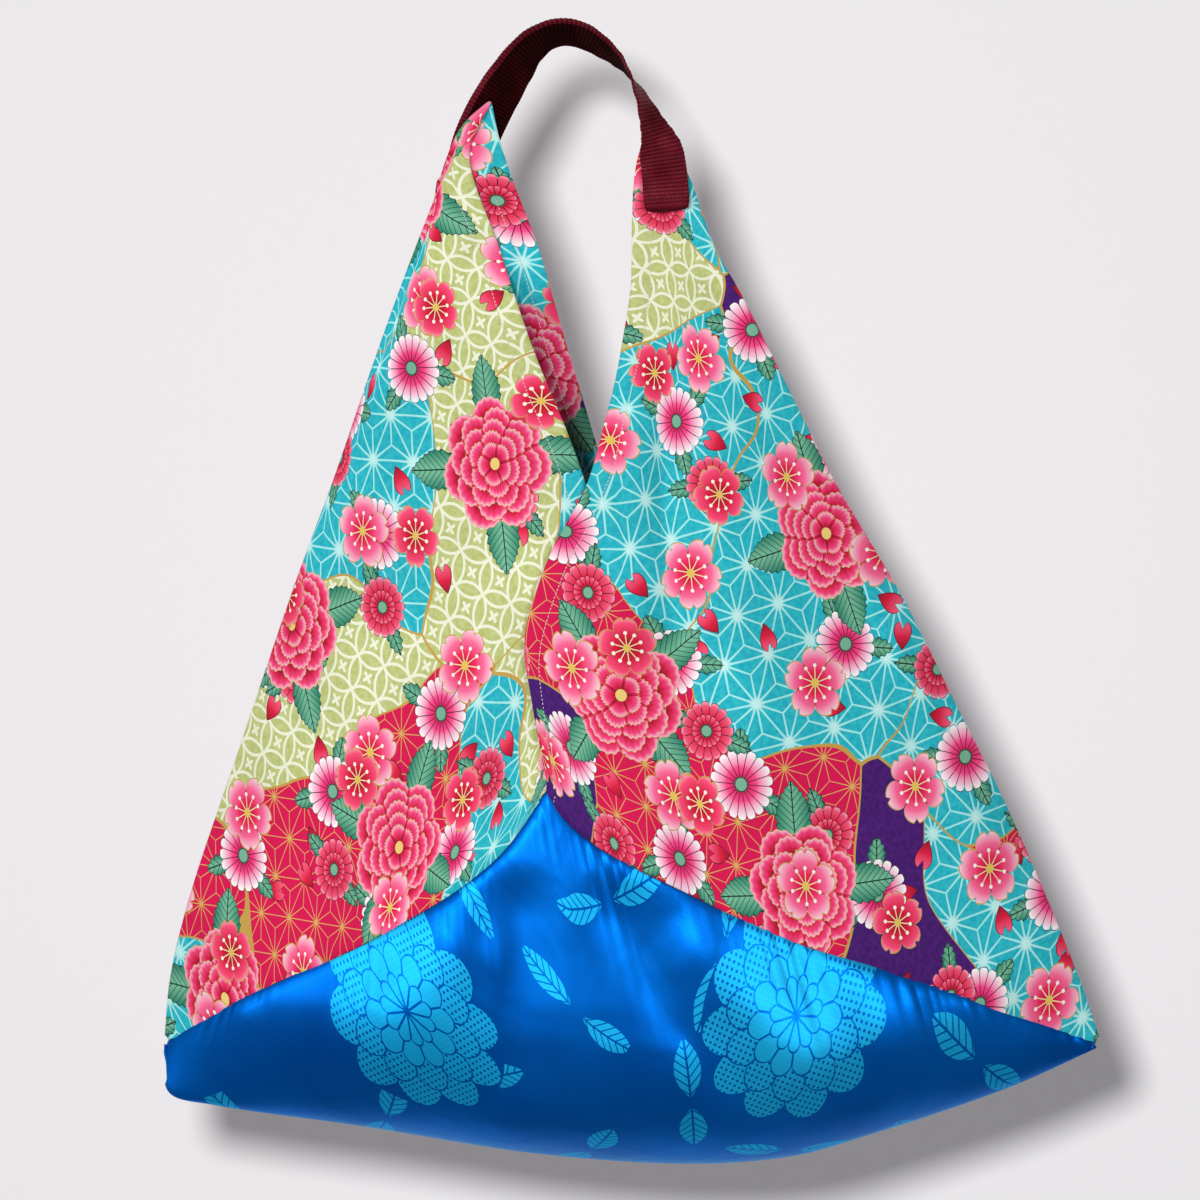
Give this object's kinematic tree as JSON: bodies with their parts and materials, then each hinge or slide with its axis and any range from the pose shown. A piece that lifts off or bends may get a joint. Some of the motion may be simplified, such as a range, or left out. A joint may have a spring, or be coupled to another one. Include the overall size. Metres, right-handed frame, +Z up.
{
  "type": "azuma lunch bag",
  "caption": "Soft lunch bag of lined cloth squares: a satin base on its diagonal, two printed panels that lap at front and back, and a twisted webbing handle joining their peaks.",
  "frame": {"origin": "middle of the handle's crown, on its underside, where a hook or hand holds the hanging bag", "axes": "+Z up, +X to the right as the front is seen, +Y from front to back"},
  "size_m": [0.6048, 0.1638, 0.743],
  "materials": {
    "printed_cotton": "plain woven cotton with a bright printed pattern of blossom and lattices",
    "printed_lining": "plain woven cotton, printed like the outside",
    "blue_satin": "satin weave with a tone-on-tone woven flower pattern",
    "base_lining": "plain woven lining",
    "burgundy_webbing": "ribbed woven webbing",
    "burgundy_thread": "twisted sewing thread",
    "white_thread": "twisted sewing thread"
  },
  "bodies": {
    "handle": {"handle_webbing": "burgundy_webbing"},
    "bag": {"left_panel": "printed_cotton", "right_panel": "printed_cotton", "base_panel": "blue_satin", "left_panel_lining": "printed_lining", "right_panel_lining": "printed_lining", "base_panel_lining": "base_lining", "handle_end_left": "burgundy_webbing", "handle_end_right": "burgundy_webbing", "handle_stitching_left": "burgundy_thread", "handle_stitching_right": "burgundy_thread", "left_front_topstitch": "white_thread", "left_back_topstitch": "white_thread", "right_front_topstitch": "white_thread", "right_back_topstitch": "white_thread"}
  },
  "joints": [
    {"name": "handle_bend", "type": "hinge", "parent": "handle", "child": "bag", "pos_m": [0.0026, 0, -0.0397], "axis": [1, 0, 0], "range_deg": [-60, 60], "deforming": ["handle_end_left", "handle_end_right"]}
  ]
}
